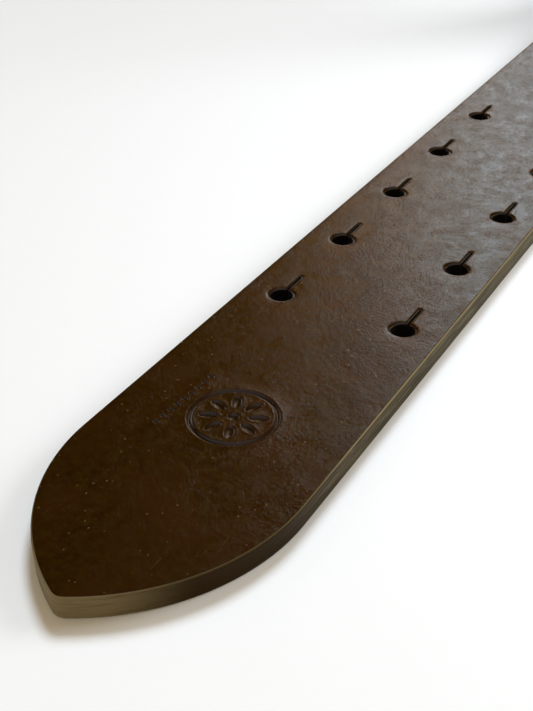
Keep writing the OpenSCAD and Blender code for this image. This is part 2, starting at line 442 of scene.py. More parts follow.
# A keyhole is a round hole with a slit that points away from the tip. Its lip is softer
# round the hole than along the slit.
def keyholeLoop(s0, v0, plan):
    turns, capTurns = 44, 8
    least, reach = plan["slitSoftness"], plan["slitReach"] - plan["slitHalf"]
    gives = [least + (1 - least) * min(min(i, turns - i) / turns * 5, 1) for i in range(turns + 1)]
    slitSteps = len(steps(plan["radius"], reach, 0.5))

    def ringAt(inset):
        slit = plan["slitHalf"] + inset * least
        mouth = math.asin(slit / (plan["radius"] + inset * least))
        points = []
        for i, give in enumerate(gives):
            a = -mouth - (2 * math.pi - 2 * mouth) * i / turns
            r = plan["radius"] + inset * give
            points.append((r * math.cos(a), r * math.sin(a)))
        start = points[0][0]
        along = [start + (reach - start) * i / slitSteps for i in range(1, slitSteps + 1)]
        cap = [math.pi / 2 - math.pi * i / capTurns for i in range(1, capTurns)]
        points += [(s, slit) for s in along] + [(reach + slit * math.cos(a), slit * math.sin(a)) for a in cap]
        points += [(s, -slit) for s in reversed(along)]
        return [(s0 + s, v0 + v) for s, v in points]

    softness = gives + [least] * (len(ringAt(0)) - len(gives))
    return ringAt, plan["lip"], softness


def keyholeAvoid(s0, v0):
    return [((s0 + d, v0), keyholePlan["clear"]) for d in (0, 3, 6)]


# The pressed ornament: a ring round a rosette, with a row of beads beside it.
ornamentPlan = {
    "centre": (45.8, 0.2), "ring": (7.6, 6.7), "petals": 8, "petalMiddle": 4.05, "petalLong": 1.65,
    "petalWide": 0.82, "eye": 0.95, "clear": 8.6,
    "beads": 9, "beadRadius": 0.52, "beadFirst": (38.6, 10.3), "beadLast": (53.6, 9.3), "beadClear": 1.5,
    "beadPress": 0.8,                 # how deep a bead is, where a petal is 1
    # how far inside a pressed line, and how high there
    "press": [(-0.32, 0.0), (-0.1, 0.035), (0.04, -0.06), (0.17, -0.34), (0.3, -0.44)],
}


def ovalPoints(centre, reachA, reachB, turn, grow, count):
    c, s = math.cos(turn), math.sin(turn)
    points = []
    for i in range(count):
        a = 2 * math.pi * i / count
        x, y = reachA * math.cos(a), reachB * math.sin(a)
        n = Vector((math.cos(a) / reachA, math.sin(a) / reachB)).normalized()
        x, y = x - n.x * grow, y - n.y * grow
        points.append((centre[0] + x * c - y * s, centre[1] + x * s + y * c))
    return points


def ornamentLines(plan):
    cx, cy = plan["centre"]
    lines = []
    for inset, z in plan["press"]:
        outer, inner = plan["ring"]
        lines.append((ovalPoints((cx, cy), outer, outer, 0, inset, 72), z))
        lines.append((ovalPoints((cx, cy), inner, inner, 0, -inset, 72), z))
        lines.append((ovalPoints((cx, cy), plan["eye"], plan["eye"], 0, inset, 20), z))
        for i in range(plan["petals"]):
            turn = 2 * math.pi * (i + 0.5) / plan["petals"]
            place = (cx + plan["petalMiddle"] * math.cos(turn), cy + plan["petalMiddle"] * math.sin(turn))
            lines.append((ovalPoints(place, plan["petalLong"], plan["petalWide"], turn, inset, 28), z))
        first, last = Vector(plan["beadFirst"]), Vector(plan["beadLast"])
        for i in range(plan["beads"]):
            place, r = first.lerp(last, i / (plan["beads"] - 1)), plan["beadRadius"]
            lines.append((ovalPoints(place, r, r, 0, inset * plan["beadPress"], 16), z * plan["beadPress"]))
    return lines


def tipOutline(stop):
    plan = strapPlan
    reach = (plan["tipLength"] ** 2 + halfWidth ** 2) / (2 * halfWidth)
    sweep = math.degrees(math.asin((reach - halfWidth) / reach))
    bow = [p for p in arcPoints(plan["tipLength"], halfWidth - reach, reach, 90, 180 - sweep, 60)
           if math.hypot(*p) > plan["tipRound"]]
    start = Vector(bow[-1])
    nose = []
    for i in range(1, 8):
        share = i / 8
        lean = (1 - share) ** 2 * start + share ** 2 * Vector((start.x, -start.y))
        nose.append(tuple(lean))
    sides = [(s, halfWidth) for s in steps(stop, plan["tipLength"], plan["meshStep"])[:-1]]
    rim = sides + bow + nose + [(s, -v) for s, v in reversed(bow)] + [(s, -v) for s, v in reversed(sides)]
    return [("rim", rim), ("border", [(stop, v) for v in acrossLines])]


def makeTip():
    stop = keyholePlan["firstPair"] - keyholePlan["pitch"] / 2
    lines = steps(0, stop, strapPlan["meshStep"])[1:-1]
    reach = (strapPlan["tipLength"] ** 2 + halfWidth ** 2) / (2 * halfWidth)
    centres = [((strapPlan["tipLength"], side * (reach - halfWidth)), reach) for side in (left, right)]
    outside = []
    for s in lines:
        for v in acrossLines:
            if s < strapPlan["tipLength"] and any(math.dist((s, v), c) > r - 1.8 for c, r in centres):
                outside.append(((s, v), 0.01))
    avoid = [(ornamentPlan["centre"], ornamentPlan["clear"])] + outside
    first, last = Vector(ornamentPlan["beadFirst"]), Vector(ornamentPlan["beadLast"])
    avoid += [(first.lerp(last, i / 16), ornamentPlan["beadClear"]) for i in range(17)]
    return makeSheet("tip", tipOutline(stop), [], ornamentLines(ornamentPlan), lines, avoid)


def makePairTile():
    half = keyholePlan["pitch"] / 2
    holes, avoid = [], []
    for side in (left, right):
        holes.append(keyholeLoop(0, side * keyholePlan["rowGap"] / 2, keyholePlan))
        avoid += keyholeAvoid(0, side * keyholePlan["rowGap"] / 2)
    size = strapPlan["meshStep"]
    lines = steps(-half, half, size)[1:-1]
    return makeSheet("pairTile", lengthOutline(-half, half, size), holes, [], lines, avoid)


def stadium(s0, s1, v0, half, size):
    turns = [math.pi * i / 16 for i in range(1, 16)]
    points = [(s, v0 + half) for s in steps(s0 + half, s1 - half, size)]
    points += [(s1 - half + half * math.sin(a), v0 + half * math.cos(a)) for a in turns]
    points += [(s, v0 - half) for s in steps(s1 - half, s0 + half, size)]
    points += [(s0 + half - half * math.sin(a), v0 - half * math.cos(a)) for a in turns]
    return points


def makeFold(start):
    plan, cuts = strapPlan, foldHoles
    bar, wrapped, met, end = marks["bar"], marks["wrapped"], marks["met"], marks["end"]
    corner = 3
    # finer lines where the strap bends round the bar
    along = steps(start, bar - 2, plan["meshStep"])
    for stop, size in ((wrapped + 2, 0.6), (met + 2, 1.2), (end - corner, 3)):
        along += steps(along[-1], stop, size)[1:]
    turn = [(end - corner + corner * math.sin(a), -halfWidth + corner - corner * math.cos(a))
            for a in (math.pi / 2 * i / 8 for i in range(1, 9))]
    lower = [(s, -halfWidth) for s in along] + turn
    across = [(end, v) for v in acrossLines]
    rim = lower + across + [(s, -v) for s, v in reversed(lower)]
    outline = [("rim", rim), ("border", [(start, v) for v in reversed(acrossLines)])]
    holes, avoid = [], []
    for side in (left, right):
        v = side * keyholePlan["rowGap"] / 2
        slotEnd = met - (plan["sLength"] - cuts["slotBack"]) - 0.6
        slot = stadium(bar - cuts["slotBack"], slotEnd, v, cuts["slotHalf"], 0.6)
        holes.append((growing(slot, True), cuts["lip"], None))
        avoid += [((s, v), cuts["slotHalf"] + cuts["clear"]) for s in steps(bar - 13, slotEnd - 3, 1)]
        for back in (cuts["screwBack"], cuts["studBack"]):
            for s in (bar - back, met + back - plan["sLength"]):
                hole = ovalPoints((s, v), cuts["radius"], -cuts["radius"], 0, 0, 28)
                holes.append((growing(hole, True), cuts["lip"], None))
                avoid.append(((s, v), cuts["radius"] + cuts["clear"]))
    return makeSheet("fold", outline, holes, [], along[1:-1], avoid)


# Lays the tip, the holed lengths, the plain lengths and the fold in a row, joins them
# and bends the row along the path. A copy of the flat place stays for the finish.
def strapTree():
    tree, given, result = newTree("strap by lengths", "GeometryNodeTree", [
        ("Geometry", "Geometry"), ("Tip", "Object"), ("Fold", "Object"), ("Holed Length", "Object"),
        ("Plain Length", "Object"), ("Path", "Object"), ("First Pair", "Float", 0.0), ("Pairs", "Int", 5),
        ("Pitch", "Float", 0.0254), ("First Plain", "Float", 0.0), ("Plain Lengths", "Int", 30),
        ("Plain Pitch", "Float", 0.02), ("Grain", "Material"), ("Edge", "Material"), ("Flesh", "Material"),
        ("Punched", "Material")], [("Geometry", "Geometry")])

    def shapeOf(label):
        info = put(tree, "GeometryNodeObjectInfo", {"transform_space": "ORIGINAL"}, {"Object": given[label]})
        return info.outputs["Geometry"]

    def row(label, count, start, pitch):
        line = put(tree, "GeometryNodeMeshLine", {"mode": "OFFSET"}, {
            "Count": given[count], "Start Location": joined(tree, X=given[start]),
            "Offset": joined(tree, X=given[pitch])}).outputs[0]
        dots = put(tree, "GeometryNodeInstanceOnPoints", inputs={"Points": line, "Instance": shapeOf(label)})
        return put(tree, "GeometryNodeRealizeInstances", inputs={"Geometry": dots.outputs[0]}).outputs[0]

    join = put(tree, "GeometryNodeJoinGeometry")
    for part in (shapeOf("Tip"), row("Holed Length", "Pairs", "First Pair", "Pitch"),
                 row("Plain Length", "Plain Lengths", "First Plain", "Plain Pitch"), shapeOf("Fold")):
        tree.links.new(part, join.inputs[0])
    merged = put(tree, "GeometryNodeMergeByDistance", inputs={
        "Geometry": join.outputs[0], "Distance": strapPlan["weld"] * mm}).outputs[0]
    place = put(tree, "GeometryNodeInputPosition").outputs[0]
    kept = put(tree, "GeometryNodeStoreNamedAttribute", {"data_type": "FLOAT_VECTOR", "domain": "POINT"}, {
        "Geometry": merged, "Name": "bench", "Value": scaled(tree, place, 1 / mm)}).outputs[0]
    along, across, up = split(tree, place)
    sample = put(tree, "GeometryNodeSampleCurve", {"mode": "LENGTH", "use_all_curves": False},
                 {"Curves": shapeOf("Path"), "Length": along}).outputs
    outwards = calcVector(tree, "CROSS_PRODUCT", sample["Tangent"], (0, 1, 0))
    moved = calcVector(tree, "ADD", sample["Position"], scaled(tree, outwards, up))
    moved = calcVector(tree, "ADD", moved, joined(tree, Y=across))
    bent = put(tree, "GeometryNodeSetPosition", inputs={"Geometry": kept, "Position": moved}).outputs[0]
    shape = put(tree, "GeometryNodeRealizeInstances", inputs={"Geometry": bent}).outputs[0]
    zone = put(tree, "GeometryNodeInputNamedAttribute", {"data_type": "INT"}, {"Name": "zone"}).outputs[0]
    for number, label in ((grain, "Grain"), (edge, "Edge"), (flesh, "Flesh"), (punched, "Punched")):
        chosen = put(tree, "FunctionNodeCompare", {"data_type": "INT", "operation": "EQUAL"},
                     {2: zone, 3: number}).outputs[0]
        shape = put(tree, "GeometryNodeSetMaterial", inputs={
            "Geometry": shape, "Selection": chosen, "Material": given[label]}).outputs[0]
    return giveOut(tree, result, shape)


def makePath(points):
    data = bpy.data.curves.new("path", "CURVE")
    data.dimensions = "3D"
    spline = data.splines.new("POLY")
    spline.points.add(len(points) - 1)
    for point, (x, z) in zip(spline.points, points):
        point.co = ((x + tipX) * mm, 0, z * mm, 1)
    path = bpy.data.objects.new("path", data)
    scene.collection.objects.link(path)
    return path


def makeStrap(finishes):
    firstPlain = keyholePlan["firstPair"] + keyholePlan["pitch"] * (keyholePlan["pairs"] - 0.5)
    foldStart = marks["bar"] - strapPlan["wedgeStart"] - 5
    count = round((foldStart - firstPlain) / strapPlan["plainLength"])
    pitch = (foldStart - firstPlain) / count
    plain = makeSheet("plainTile", lengthOutline(0, pitch, strapPlan["plainStep"]), [], [],
                      steps(0, pitch, strapPlan["plainStep"])[1:-1], [])
    tip, pairTile, fold, path = makeTip(), makePairTile(), makeFold(foldStart), makePath(pathPoints)
    strap = growWith("strap_leather", strapTree(), {
        "Tip": tip, "Fold": fold, "Holed Length": pairTile, "Plain Length": plain, "Path": path,
        "First Pair": keyholePlan["firstPair"] * mm, "Pairs": keyholePlan["pairs"],
        "Pitch": keyholePlan["pitch"] * mm,
        "First Plain": firstPlain * mm, "Plain Lengths": count, "Plain Pitch": pitch * mm,
        "Grain": finishes["grain"], "Edge": finishes["edge"], "Flesh": finishes["flesh"],
        "Punched": finishes["punched"]})
    discard(tip, pairTile, plain, fold, path)
    hand(strap, "belt", "strap_leather", "strap")
    strap.visible_glossy = False      # the loop isn't mirrored in the flat run beside it
    return strap


# Short ways to write shader nodes.
def span(tree, value, low, high, toLow=0.0, toHigh=1.0):
    node = put(tree, "ShaderNodeMapRange", {"interpolation_type": "SMOOTHSTEP"},
               {"Value": value, "From Min": low, "From Max": high, "To Min": toLow, "To Max": toHigh})
    return node.outputs[0]


def blendColors(tree, share, first, second, kind="MIX"):
    colors = [color if isinstance(color, bpy.types.NodeSocket) else (*color, 1) for color in (first, second)]
    node = put(tree, "ShaderNodeMix", {"data_type": "RGBA", "blend_type": kind},
               {0: share, 6: colors[0], 7: colors[1]})
    return node.outputs[2]


def noise(tree, place, scale, detail=2.0, roughness=0.5, distortion=0.0, output="Fac"):
    node = put(tree, "ShaderNodeTexNoise", inputs={
        "Vector": place, "Scale": scale, "Detail": detail, "Roughness": roughness, "Distortion": distortion})
    return node.outputs[output]


def cells(tree, place, feature="F1"):
    return put(tree, "ShaderNodeTexVoronoi", {"feature": feature}, {"Vector": place, "Scale": 1.0}).outputs


# Heights and depths of what makes up the grain, in millimetres.
grainRelief = {
    "pebbles": 0.05, "ripple": 0.03, "pores": -0.014, "lines": -0.005, "glintsAndScratches": 0.03, "patches": 0.05,
}


# Leather grain: pebbles, pores, fine creases, a few short scratches, tiny painted glints and a slow waviness.
def leatherGrainGroup(relief):
    tree, given, result = newTree("leather grain", "ShaderNodeTree", [
        ("Place", "Vector"), ("Pore Size", "Float", 0.5), ("Crease Size", "Float", 2.2),
        ("Wave Size", "Float", 14.0)],
        [(label, "Float") for label in ("Height", "Pores", "Specks", "Mottle", "Patches")])
    place = given["Place"]
    fine = calc(tree, "DIVIDE", 1.0, given["Pore Size"])
    creased = calc(tree, "DIVIDE", 1.0, given["Crease Size"])
    slow = calc(tree, "DIVIDE", 1.0, given["Wave Size"])
    wobble = noise(tree, place, 1.6, output="Color")
    warped = calcVector(tree, "ADD", place, scaled(tree, wobble, 0.5))
    pore = cells(tree, scaled(tree, warped, fine))
    chance = put(tree, "ShaderNodeSeparateColor", inputs={0: pore["Color"]}).outputs
    patches = noise(tree, place, slow, 3.0, 0.55)
    busy = span(tree, noise(tree, place, calc(tree, "MULTIPLY", slow, 3.5)), 0.3, 0.7, 0.55, 1.0)
    pores = calc(tree, "MULTIPLY", span(tree, pore["Distance"], 0.5, 0.12), span(tree, chance[0], 0.45, 0.9))
    # tiny pale dots: painted glints on the grain
    dots = calc(tree, "MULTIPLY", span(tree, pore["Distance"], 0.46, 0.2),
                span(tree, chance[1], 0.984, 0.992))
    # short straight scratches, only in some places
    slanted = put(tree, "ShaderNodeMapping", inputs={
        "Vector": place, "Rotation": (0, 0, 0.45), "Scale": (0.16, 4.2, 1.0)}).outputs[0]
    scratches = calc(tree, "MULTIPLY", span(tree, noise(tree, slanted, 1.0, 0.0), 0.79, 0.86),
                     span(tree, patches, 0.5, 0.6))
    glintsAndScratches = calc(tree, "MAXIMUM", dots, calc(tree, "MULTIPLY", scratches, 0.7))
    crease = cells(tree, scaled(tree, warped, creased), "DISTANCE_TO_EDGE")[0]
    lines = calc(tree, "MULTIPLY", span(tree, crease, 0.12, 0.0), span(tree, patches, 0.35, 0.7))
    pebbles = noise(tree, warped, calc(tree, "MULTIPLY", fine, 0.8), 2.0, 0.6)
    ripple = noise(tree, place, calc(tree, "MULTIPLY", fine, 2.0), 2.0, 0.6)
    ripple = calc(tree, "MULTIPLY", ripple, relief["ripple"])
    height = calc(tree, "MULTIPLY", calc(tree, "MULTIPLY_ADD", pebbles, relief["pebbles"], ripple), busy)
    for part, label in ((pores, "pores"), (lines, "lines"), (glintsAndScratches, "glintsAndScratches"), (patches, "patches")):
        height = calc(tree, "MULTIPLY_ADD", part, relief[label], height)
    mottle = noise(tree, place, calc(tree, "MULTIPLY", slow, 9.0), 6.0, 0.75, 0.1)
    return giveOut(tree, result, height, pores, glintsAndScratches, mottle, patches)


# Streaks of a given size each way, for cut edges and flesh.
def fibreStreaksGroup():
    tree, given, result = newTree("fibre streaks", "ShaderNodeTree", [
        ("Place", "Vector"), ("Streak Size", "Vector", (6.0, 6.0, 0.4))],
        [("Height", "Float"), ("Streaks", "Float"), ("Bands", "Float"), ("Nap", "Float")])
    stretched = calcVector(tree, "DIVIDE", given["Place"], given["Streak Size"])
    streaks = noise(tree, stretched, 1.0, 4.0, 0.6, 0.4)
    bands = noise(tree, stretched, 0.35)
    nap = noise(tree, given["Place"], 5.0, 4.0, 0.7)
    height = calc(tree, "MULTIPLY_ADD", streaks, 0.16, calc(tree, "MULTIPLY", nap, 0.05))
    return giveOut(tree, result, height, streaks, bands, nap)


leatherGrain, fibreStreaks = leatherGrainGroup(grainRelief), fibreStreaksGroup()


# A material with the shader's own constants set, ready for its nodes.
def startFinish(name, constants):
    material = bpy.data.materials.new(name)
    material.use_nodes = True
    tree = material.node_tree
    shader = tree.nodes["Principled BSDF"]
    for label, value in constants.items():
        shader.inputs[label].default_value = value
    return material, tree, shader


def useGroup(tree, group, inputs):
    return put(tree, "ShaderNodeGroup", {"node_tree": group}, inputs).outputs


def bumpWith(tree, shader, height, strength):
    bump = put(tree, "ShaderNodeBump", inputs={"Height": height, "Strength": strength, "Distance": mm})
    tree.links.new(bump.outputs[0], shader.inputs["Normal"])


def benchPlace(tree):
    return put(tree, "ShaderNodeAttribute", {"attribute_name": "bench"}).outputs["Vector"]


def objectPlace(tree):
    return scaled(tree, put(tree, "ShaderNodeTexCoord").outputs["Object"], 1000)


grainLook = {
    "dark": (0.015, 0.0050, 0.0001), "olive": (0.024, 0.0105, 0.0002), "red": (0.032, 0.0088, 0.0014),
    "glintAndScratch": (0.15, 0.09, 0.035), "roughness": (0.17, 0.27), "bump": 1.4,
    "poreSize": 0.45, "creaseSize": 1.0, "waveSize": 15.0,      # mm
}


def grainFinish(name, look, placeOf):
    material, tree, shader = startFinish(name, {"IOR": 1.47})
    place = placeOf(tree)
    surface = useGroup(tree, leatherGrain, {"Place": place, "Pore Size": look["poreSize"],
                                            "Crease Size": look["creaseSize"], "Wave Size": look["waveSize"]})
    color = blendColors(tree, span(tree, surface["Mottle"], 0.36, 0.64), look["dark"], look["olive"])
    ruddy = calc(tree, "MULTIPLY", span(tree, surface["Patches"], 0.36, 0.70),
                 span(tree, surface["Mottle"], 0.75, 0.25))
    color = blendColors(tree, ruddy, color, look["red"])
    color = blendColors(tree, calc(tree, "MULTIPLY", surface["Pores"], 0.4), color, look["dark"])
    # pale dots and scratches: painted glints, and scratch wear
    color = blendColors(tree, calc(tree, "MULTIPLY", surface["Specks"], 0.5), color, look["glintAndScratch"])
    low, high = look["roughness"]
    tree.links.new(color, shader.inputs["Base Color"])
    tree.links.new(span(tree, surface["Mottle"], 0.3, 0.7, low, high), shader.inputs["Roughness"])
    bumpWith(tree, shader, surface["Height"], look["bump"])
    return material


# An edge's point is painted pale, partly rub wear and partly a painted highlight where light falls on it, and
# the curves beside it are painted dark as painted shade, in mm from the tip.
edgeLook = {"dark": (0.016, 0.0095, 0.002), "pale": (0.115, 0.09, 0.042), "tint": (0.052, 0.039, 0.010),
            "arcShade": (0.022, 0.0105, 0.0004), "arcShadeUntil": (26.0, 46.0),
            "rubbedAndHighlight": (0.135, 0.098, 0.048), "rubbedAndHighlightUntil": 13.0, "roughness": (0.32, 0.55), "bump": 0.5}
# The strap's rim, where the bevel meets the wall, is painted pale too, a painted highlight where the bevel
# catches light, less so at the tip.
strapEdgeLook = dict(edgeLook, rim=(0.22, 0.165, 0.085), rimDepths=(-0.3, -0.12), rimFrom=(20.0, 60.0),
                     rimLeast=0.25)
# The walls of punched holes are painted nearly black: painted shade inside the holes.
punchedShadeLook = {"dark": (0.002, 0.0013, 0.0005), "pale": (0.006, 0.004, 0.0015), "tint": (0.004, 0.003, 0.001),
               "roughness": (0.5, 0.75), "bump": 0.5}


def edgeFinish(name, look, placeOf, shine):
    material, tree, shader = startFinish(name, {"Specular IOR Level": shine})
    place = placeOf(tree)
    surface = useGroup(tree, fibreStreaks, {"Place": place, "Streak Size": (9.0, 9.0, 0.45)})
    color = blendColors(tree, span(tree, surface["Streaks"], 0.36, 0.68), look["dark"], look["pale"])
    color = blendColors(tree, span(tree, surface["Bands"], 0.45, 0.62, 0.0, 0.8), color, look["tint"])
    if "arcShade" in look:
        s, _, depth = split(tree, place)
        # painted shade along the curves near the tip
        color = blendColors(tree, span(tree, s, *look["arcShadeUntil"]), look["arcShade"], color)
        # pale at the point: rub wear and a painted highlight
        rubbedAndHighlight = calc(tree, "MULTIPLY", span(tree, s, look["rubbedAndHighlightUntil"], 2.0),
                      span(tree, surface["Streaks"], 0.25, 0.5, 0.5, 1.0))
        color = blendColors(tree, rubbedAndHighlight, color, look["rubbedAndHighlight"])
    if "rim" in look:
        # painted highlight along the rim of the bevel
        wornAndHighlight = calc(tree, "MULTIPLY", span(tree, depth, *look["rimDepths"]),
                    span(tree, s, *look["rimFrom"], look["rimLeast"]))
        color = blendColors(tree, wornAndHighlight, color, look["rim"])
    low, high = look["roughness"]
    tree.links.new(color, shader.inputs["Base Color"])
    tree.links.new(span(tree, surface["Nap"], 0.3, 0.7, low, high), shader.inputs["Roughness"])
    bumpWith(tree, shader, surface["Height"], look["bump"])
    return material


fleshLook = {"dark": (0.040, 0.022, 0.011), "pale": (0.115, 0.066, 0.034),
             "roughness": (0.78, 0.95), "bump": 1.0}


def fleshFinish(name, look, placeOf):
    material, tree, shader = startFinish(name, {"Sheen Weight": 0.12, "Sheen Roughness": 0.5})
    place = placeOf(tree)
    surface = useGroup(tree, fibreStreaks, {"Place": place, "Streak Size": (1.6, 0.5, 0.5)})
    color = blendColors(tree, span(tree, surface["Streaks"], 0.3, 0.7), look["dark"], look["pale"])
    color = blendColors(tree, span(tree, surface["Nap"], 0.6, 0.35, 0.0, 0.6), color, look["dark"])
    low, high = look["roughness"]
    tree.links.new(color, shader.inputs["Base Color"])
    tree.links.new(span(tree, surface["Nap"], 0.3, 0.7, low, high), shader.inputs["Roughness"])
    bumpWith(tree, shader, surface["Height"], look["bump"])
    return material


finishes = {"grain": grainFinish("strap grain", grainLook, benchPlace),
            "edge": edgeFinish("strap edge", strapEdgeLook, benchPlace, 0.06),
            "flesh": fleshFinish("strap flesh", fleshLook, benchPlace),
            "punched": edgeFinish("punched holes", punchedShadeLook, benchPlace, 0.05)}
strap = makeStrap(finishes)


# Wear on metal: dull patches, fine scratches that run two ways, and shallow pits.
def metalWearGroup():
    tree, given, result = newTree("metal wear", "ShaderNodeTree", [
        ("Place", "Vector"), ("Patch Size", "Float", 6.0), ("Scratch Length", "Float", 4.0)],
        [("Height", "Float"), ("Tarnish", "Float"), ("Scratches", "Float")])
    place = given["Place"]
    tarnish = noise(tree, place, calc(tree, "DIVIDE", 1.0, given["Patch Size"]), 5.0, 0.6)
    size = joined(tree, X=calc(tree, "DIVIDE", 1.0, given["Scratch Length"]), Y=7.0, Z=3.0)
    ways = []
    for turn in (0.4, 1.9):
        turned = put(tree, "ShaderNodeVectorRotate", {"rotation_type": "Z_AXIS"},
                     {"Vector": place, "Angle": turn}).outputs[0]
        ways.append(span(tree, noise(tree, calcVector(tree, "MULTIPLY", turned, size), 1.0, 1.0), 0.64, 0.74))
    scratches = calc(tree, "MAXIMUM", *ways)
    pits = span(tree, noise(tree, place, 3.5), 0.64, 0.74)
    height = calc(tree, "MULTIPLY_ADD", scratches, -0.006, calc(tree, "MULTIPLY", pits, -0.02))
    return giveOut(tree, result, height, tarnish, scratches)


metalWear = metalWearGroup()


def brassFinish(name, look):
    material, tree, shader = startFinish(name, {"Metallic": 1.0})
    surface = useGroup(tree, metalWear, {"Place": objectPlace(tree), "Patch Size": look["patch"],
                                         "Scratch Length": look["scratch"]})
    dull = span(tree, surface["Tarnish"], 0.44, 0.70)
    color = blendColors(tree, dull, look["bright"], look["tarnish"])
    color = blendColors(tree, calc(tree, "MULTIPLY", surface["Scratches"], 0.3), color, look["wornAndHighlight"])
    low, high = look["roughness"]
    tree.links.new(color, shader.inputs["Base Color"])
    tree.links.new(span(tree, surface["Tarnish"], 0.35, 0.7, low, high), shader.inputs["Roughness"])
    bumpWith(tree, shader, surface["Height"], look["bump"])
    return material


castBrass = brassFinish("cast brass", {
    "bright": (0.73, 0.50, 0.20), "tarnish": (0.36, 0.21, 0.075), "wornAndHighlight": (0.88, 0.68, 0.36),
    "roughness": (0.2, 0.42), "patch": 7.0, "scratch": 4.0, "bump": 1.0})
turnedBrass = brassFinish("turned brass", {
    "bright": (0.77, 0.56, 0.25), "tarnish": (0.45, 0.28, 0.11), "wornAndHighlight": (0.88, 0.70, 0.40),
    "roughness": (0.16, 0.32), "patch": 4.0, "scratch": 2.0, "bump": 0.6})
platedWire = brassFinish("plated wire", {
    "bright": (0.66, 0.46, 0.20), "tarnish": (0.30, 0.19, 0.08), "wornAndHighlight": (0.75, 0.60, 0.35),
    "roughness": (0.25, 0.45), "patch": 2.0, "scratch": 1.5, "bump": 0.6})

# The keeper: a strip of thinner leather bent into a loop, its ends meeting underneath.
keeperPlan = {"thickness": 2.2, "corner": 1.9, "edgeRound": 0.6, "crown": 0.16, "bow": 0.22, "buttGap": 0.3,
              "step": 1.2, "edgeDepth": 0.12}


def roundedBox(halfWide, halfHigh, radius, arcSteps, flatSteps):
    points = []
    wide, high = halfWide - radius, halfHigh - radius
    for x, y, start in ((1, 1, 0), (-1, 1, 90), (-1, -1, 180), (1, -1, 270)):
        points += arcPoints(x * wide, y * high, radius, start, start + 90, arcSteps)
        if start in (0, 180):
            points += [(x * wide * (1 - 2 * i / flatSteps), y * halfHigh) for i in range(1, flatSteps)]
    return points


def makeKeeper(plan, materials):
    low, high = boxOf("keeper_loop")
    middle, half = (low + high) / 2, (high - low) / 2
    t = plan["thickness"]
    wide, tall, r = half.y - t / 2, half.z - t / 2, plan["corner"]
    line = [(y, -tall) for y in steps(plan["buttGap"] / 2, wide - r, plan["step"])]
    line += [(wide - r + y, -tall + r + z) for y, z in arcPoints(0, 0, r, -90, 0, 8)[1:]]
    line += [(wide, z) for z in steps(-tall + r, tall - r, plan["step"])[1:]]
    line += [(wide - r + y, tall - r + z) for y, z in arcPoints(0, 0, r, 0, 90, 8)[1:]]
    line += [(y, tall) for y in steps(wide - r, 0, plan["step"])[1:]]
    line += [(-y, z) for y, z in reversed(line[:-1])]
    section = roundedBox(half.x, t / 2, plan["edgeRound"], 4, 6)
    rings = []
    for (y, z), inward in zip(line, inwards(line, False)):
        y += plan["bow"] * (1 - (z / tall) ** 2) * (1 if y > 0 else -1) * (abs(y) > wide - r)
        z += plan["bow"] * (1 - (y / wide) ** 2) * (z > 0)
        ring = []
        for u, w in section:
            w += plan["crown"] * (1 - (u / half.x) ** 2) * (w > 0)
            ring.append((middle.x + u, middle.y + y - inward.x * w, middle.z + z - inward.y * w))
        rings.append(ring)
    verts, faces = loft(rings)
    zones = []
    for face in faces:
        places = {i % len(section) for i in face}
        w = sum(section[i][1] for i in places) / len(places)
        onEdge = len(face) > 4 or abs(w) < t / 2 - plan["edgeDepth"]
        zones.append(edge if onEdge else grain if w > 0 else flesh)
    keeper = addMesh("keeper_leather", verts, faces, zones)
    for material in materials:
        keeper.data.materials.append(material)
    keeper.data.polygons.foreach_set("material_index", zones)
    hand(keeper, "keeper", "keeper_leather", "keeper_loop")


makeKeeper(keeperPlan, [grainFinish("keeper grain", dict(grainLook, waveSize=11.0), objectPlace),
                        edgeFinish("keeper edge", edgeLook, objectPlace, 0.35),
                        fleshFinish("keeper flesh", fleshLook, objectPlace)])


# Sets the same part out in a row, each one turned a little further than the last.
def partsRowTree():
    tree, given, result = newTree("parts in a row", "GeometryNodeTree", [
        ("Geometry", "Geometry"), ("Part", "Object"), ("Count", "Int", 2), ("First", "Vector"),
        ("Step", "Vector"), ("First Turn", "Float", 0.0), ("Turn Step", "Float", 0.0),
        ("Finish", "Material")],
        [("Geometry", "Geometry")])
    part = put(tree, "GeometryNodeObjectInfo", {"transform_space": "ORIGINAL"}, {"Object": given["Part"]})
    line = put(tree, "GeometryNodeMeshLine", {"mode": "OFFSET"}, {
        "Count": given["Count"], "Start Location": given["First"], "Offset": given["Step"]}).outputs[0]
    number = put(tree, "GeometryNodeInputIndex").outputs[0]
    turn = calc(tree, "MULTIPLY_ADD", number, given["Turn Step"], given["First Turn"])
    placed = put(tree, "GeometryNodeInstanceOnPoints", inputs={
        "Points": line, "Instance": part.outputs["Geometry"], "Rotation": joined(tree, Z=turn)}).outputs[0]
    real = put(tree, "GeometryNodeRealizeInstances", inputs={"Geometry": placed}).outputs[0]
    done = put(tree, "GeometryNodeSetMaterial", inputs={"Geometry": real, "Material": given["Finish"]})
    return giveOut(tree, result, done.outputs[0])


partsRow = partsRowTree()


def setOut(name, part, first, step, finish, body, slot, nodes, turns=(0.0, 0.0)):
    piece = growWith(name, partsRow, {
        "Part": part, "First": Vector(first) * mm, "Step": Vector(step) * mm, "First Turn": turns[0],
        "Turn Step": turns[1], "Finish": finish})
    piece.data.set_sharp_from_angle(angle=math.radians(40))
    discard(part)
    hand(piece, body, slot, *nodes)


# Wire staples across the keeper's butt joint.
staplePlan = {
    "wire": 0.24, "half": 2.75, "dip": 0.5,
    "flat": 1.9,                      # how many times wider than high
}


